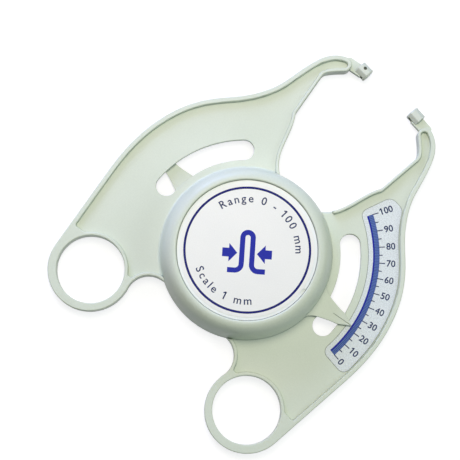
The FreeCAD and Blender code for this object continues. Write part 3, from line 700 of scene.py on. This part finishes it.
INK_ON_SCALE = FILM_TOP - INK / 4
INK_ON_CAP = CAP_FILM_TOP - INK / 4
FIRST, LAST = scale_angle(0), scale_angle(100)
SCALE_LINE = 52.72 * MM
LINE_END = 53.45 * MM
BAND_END = 55.45 * MM
HALF_TICK_END = 56.7 * MM
TEN_TICK_END = 57.8 * MM
NUMBER_START = 58.3 * MM
NUMBER_SIZE = 3.85 * MM
NUMBER_BOLD = 0.07 * MM          # how much the figures are thickened
FOUR_SHIFT = 0.06 * MM           # how far apart the layers of a four lie
FINE_MARK = 0.16 * MM            # width of a mark inside the band
BOLD_MARK = 0.4 * MM             # width of a mark outside it
MARK_OVERLAP = 0.3 * MM          # how far a bold mark reaches into the band
SCALE_STEPS = 96                 # straight pieces along the curve

line = printed_band("scale_line", SCALE_LINE, LINE_END, FIRST, LAST, INK_ON_SCALE, SCALE_STEPS)
printed(line, line_blue, "scale_arm")
band = printed_band("scale_band", LINE_END, BAND_END, FIRST, LAST, INK_ON_SCALE, SCALE_STEPS)
printed(band, band_blue, "scale_arm")

ticks = []
for gap in range(101):
    angle = scale_angle(gap)
    ticks.append(tick(LINE_END, BAND_END, FINE_MARK, angle, INK_ON_SCALE + INK / 8))
    if gap % 5 == 0:
        end = HALF_TICK_END if gap % 10 else TEN_TICK_END
        ticks.append(tick(BAND_END - MARK_OVERLAP, end, BOLD_MARK, angle, INK_ON_SCALE + INK / 6))
printed(join(ticks, "scale_ticks"), letter_slate, "scale_arm")


def number(gap):
    """The figures of one mark. A thickened four would close up, so it is laid four times, a hair apart."""
    turn = scale_angle(gap)
    place = on_circle(NUMBER_START, turn)
    if gap != 40:
        return [lettering(str(gap), NUMBER_SIZE, place, turn, INK_ON_SCALE, bold=NUMBER_BOLD)]
    row = []
    for layer in range(4):
        aside = on_circle(FOUR_SHIFT, turn + math.radians(45 + 90 * layer))
        row.append(lettering("40", NUMBER_SIZE, place + aside, turn, INK_ON_SCALE + layer * INK / 12))
    return row


numbers = [piece for gap in range(0, 101, 10) for piece in number(gap)]
printed(join(numbers, "scale_numbers"), letter_slate, "scale_arm")

RING_INNER = 25.0 * MM
RING_OUTER = 25.95 * MM
cap_ring = printed_band("cap_ring", RING_INNER, RING_OUTER, 0, 2 * math.pi, INK_ON_CAP, 192)
printed(cap_ring, ring_blue, "pointer_arm")

# The cap shows what the tool measures: a pinched fold between two arrows.
CAP_UP = math.radians(128)
FOLD_HALF = 2.1 * MM             # middle of the fold's sides
FOLD_LINE = 2.1 * MM             # width of its line
FOLD_TOP = 5.0 * MM              # middle of the fold's round top
FOLD_FOOT = -6.0 * MM
FLARE = 2.6 * MM                 # radius where the fold runs out into the skin
SKIN = 3.0 * MM                  # length of skin beside the fold
ARROW_LOW = -1.5 * MM            # how far an arrow's middle line lies off the sign's
ARROW_GAP = 4.0 * MM             # from the fold's middle to an arrow's point
ARROW_TAIL = 2.7 * MM
ARROW_TAIL_WIDTH = 3.6 * MM
ARROW_HEAD = 3.4 * MM
ARROW_FLARE = 2.1                # the head's width, in widths of the tail


def flat_strip(name, width, height, x, y):
    let_go()
    bpy.ops.mesh.primitive_plane_add(size=1, location=(x, y, 0))
    obj = bpy.context.object
    obj.name = name
    obj.scale = (width, height, 1)
    fix_place()
    edit(obj)
    return obj


def on_sign(obj, turn):
    """Gives a flat shape the thickness of the print and sets it on the cap, turned within the sign."""
    close_up()
    done()
    solid = obj.modifiers.new("print", "SOLIDIFY")
    solid.thickness = INK
    solid.offset = 1
    finish_modifier(obj, solid)
    obj.location = (0, 0, INK_ON_CAP)
    obj.rotation_euler = (0, 0, CAP_UP - math.pi / 2 + turn)
    fix_place()
    return obj


def arrow(turn, height):
    start = ARROW_GAP + ARROW_HEAD
    obj = flat_strip("arrow", ARROW_TAIL, ARROW_TAIL_WIDTH, start + ARROW_TAIL / 2, height)
    pick_edges(obj, lambda a, b, angle: max(a.x, b.x) < start + NEAR)
    bpy.ops.mesh.extrude_region_move()
    bpy.ops.transform.resize(value=(1, ARROW_FLARE, 1), center_override=(start, height, 0))
    bpy.ops.mesh.extrude_region_move(TRANSFORM_OT_translate={"value": (-ARROW_HEAD, 0, 0)})
    bpy.ops.mesh.merge(type="CENTER")
    return on_sign(obj, turn)


def fold():
    height = FOLD_TOP - FOLD_FOOT
    obj = flat_strip("fold", FOLD_LINE, height, FOLD_HALF, (FOLD_TOP + FOLD_FOOT) / 2)
    pick_edges(obj, lambda a, b, angle: min(a.y, b.y) > FOLD_TOP - NEAR)
    bpy.ops.mesh.spin(steps=16, angle=-math.pi, center=(0, FOLD_TOP, 0), axis=(0, 0, 1))
    bpy.ops.mesh.extrude_region_move(TRANSFORM_OT_translate={"value": (0, -height, 0)})
    for side in (1, -1):
        middle = (side * (FOLD_HALF + FLARE), FOLD_FOOT, 0)
        pick_edges(obj, lambda a, b, angle: max(a.y, b.y) < FOLD_FOOT + NEAR and min(a.x * side, b.x * side) > 0)
        bpy.ops.mesh.spin(steps=8, angle=-side * math.pi / 2, center=middle, axis=(0, 0, 1))
        bpy.ops.mesh.extrude_region_move(TRANSFORM_OT_translate={"value": (side * SKIN, 0, 0)})
    return on_sign(obj, 0)


printed(join([fold(), arrow(0, ARROW_LOW), arrow(math.pi, -ARROW_LOW)], "cap_sign"), sign_blue, "pointer_arm")


WORD_RADIUS = 20.9 * MM
WORD_SIZE = 4.6 * MM
WORD_BOLD = 0.05 * MM
WORD_SPACE = 0.3 * WORD_SIZE
LETTER_GAP = 1.0 * MM


def curved_words(text, middle, inward):
    """Words along a circle, with their feet to the hub axis or, when inward, with their heads to it."""
    row = []
    for letter in text:
        if letter == " ":
            row.append((None, WORD_SPACE))
        else:
            obj = lettering(letter, WORD_SIZE, Vector((0, 0, 0)), 0, INK_ON_CAP, "CENTER", WORD_BOLD)
            row.append((obj, obj.dimensions.x))
    at = -(sum(width for obj, width in row) + LETTER_GAP * (len(row) - 1)) / 2
    for obj, width in row:
        away = (at + width / 2) / WORD_RADIUS
        at += width + LETTER_GAP
        if obj:
            angle = middle + away if inward else middle - away
            spot = on_circle(WORD_RADIUS, angle)
            obj.location.x, obj.location.y = spot.x, spot.y
            obj.rotation_euler.z = angle + math.pi / 2 if inward else angle - math.pi / 2
    return [obj for obj, width in row if obj]


words = curved_words("Range 0 - 100 mm", math.radians(101), False)
words += curved_words("Scale 1 mm", math.radians(279), True)
printed(join(words, "cap_lettering"), letter_slate, "pointer_arm")


# Light, floor and camera


# The camera's own directions and its place
RIGHT = Vector((0.7439485, 0.66751751, 0.031))
UP = Vector((-0.66516673, 0.73529125, 0.13))
BACK = Vector((0.06398325, -0.11733347, 0.99102926))
CAMERA_PLACE = Vector((27.196, -68.004, 602.528)) * MM

camera = bpy.data.objects.new("camera", bpy.data.cameras.new("camera"))
bpy.context.scene.collection.objects.link(camera)
camera.data.sensor_width = 36
camera.data.lens = 113.95
camera.data.clip_end = 20
camera.matrix_world = Matrix.Translation(CAMERA_PLACE) @ Matrix((
    (RIGHT.x, UP.x, BACK.x, 0), (RIGHT.y, UP.y, BACK.y, 0), (RIGHT.z, UP.z, BACK.z, 0), (0, 0, 0, 1),
))
bpy.context.scene.camera = camera


LAMP_DISTANCE = 0.8
LAMP_SIZE = 0.4


def soft_box(name, toward, power, colour):
    lamp = bpy.data.objects.new(name, bpy.data.lights.new(name, "AREA"))
    bpy.context.scene.collection.objects.link(lamp)
    lamp.data.shape = "DISK"
    lamp.data.size = LAMP_SIZE
    lamp.data.energy = power
    lamp.data.color = colour
    lamp.location = toward.normalized() * LAMP_DISTANCE
    lamp.rotation_euler = toward.to_track_quat("Z", "Y").to_euler()


def from_side(turn, rise):
    """The direction towards a lamp: degrees round the view from its right, and degrees towards the camera."""
    turn, rise = math.radians(turn), math.radians(rise)
    return (RIGHT * math.cos(turn) + UP * math.sin(turn)) * math.cos(rise) + BACK * math.sin(rise)


soft_box("key_light", from_side(90, 65), 2.95, (1.0, 0.93, 0.80))
soft_box("left_light", from_side(135, 25), 1.05, (1.0, 0.74, 1.0))
soft_box("side_light", from_side(0, 35), 1.4, (0.87, 0.94, 1.0))
soft_box("sky_light", from_side(110, 12), 4.7, (0.424, 0.524, 1.0))

world = bpy.data.worlds.new("studio")
bpy.context.scene.world = world
world.use_nodes = True
sky = world.node_tree.nodes["Background"]
sky.inputs["Color"].default_value = (0.80, 0.96, 1.0, 1)
sky.inputs["Strength"].default_value = 0.268

FLOOR_SIZE = 6
FLOOR_DROP = 0.05 * MM           # air between the floor and the object's back

let_go()
bpy.ops.mesh.primitive_plane_add(size=FLOOR_SIZE, location=(0, 0, -FLOOR_DROP))
floor = bpy.context.object
floor.name = "floor"


def white_paper(name):
    """Paper that looks white to the camera and in reflections, and throws little light back on the object."""
    material, tree, shader = new_material(name)
    grain = noise(tree, object_place(tree), 90, 4)
    tone = blend_colour(tree, share_of(tree, grain), (0.34, 0.34, 0.34), (0.36, 0.36, 0.36))
    tree.links.new(tone, shader.inputs["Base Color"])
    shader.inputs["Roughness"].default_value = 0.9
    shader.inputs["Specular IOR Level"].default_value = 0.1
    glow = tree.nodes.new("ShaderNodeEmission")
    glow.inputs["Color"].default_value = (1, 1, 1, 1)
    glow.inputs["Strength"].default_value = 0.78
    bright = tree.nodes.new("ShaderNodeAddShader")
    tree.links.new(shader.outputs["BSDF"], bright.inputs[0])
    tree.links.new(glow.outputs["Emission"], bright.inputs[1])
    dull = tree.nodes.new("ShaderNodeBsdfDiffuse")
    dull.inputs["Color"].default_value = (0.03, 0.03, 0.03, 1)
    path = tree.nodes.new("ShaderNodeLightPath")
    seen = tree.nodes.new("ShaderNodeMath")
    seen.operation = "MAXIMUM"
    tree.links.new(path.outputs["Is Camera Ray"], seen.inputs[0])
    tree.links.new(path.outputs["Is Glossy Ray"], seen.inputs[1])
    either = tree.nodes.new("ShaderNodeMixShader")
    tree.links.new(seen.outputs["Value"], either.inputs["Fac"])
    tree.links.new(dull.outputs["BSDF"], either.inputs[1])
    tree.links.new(bright.outputs["Shader"], either.inputs[2])
    tree.links.new(either.outputs["Shader"], tree.nodes["Material Output"].inputs["Surface"])
    return material


dress(floor, white_paper("floor_paper"))

bpy.context.scene.view_settings.view_transform = "Standard"
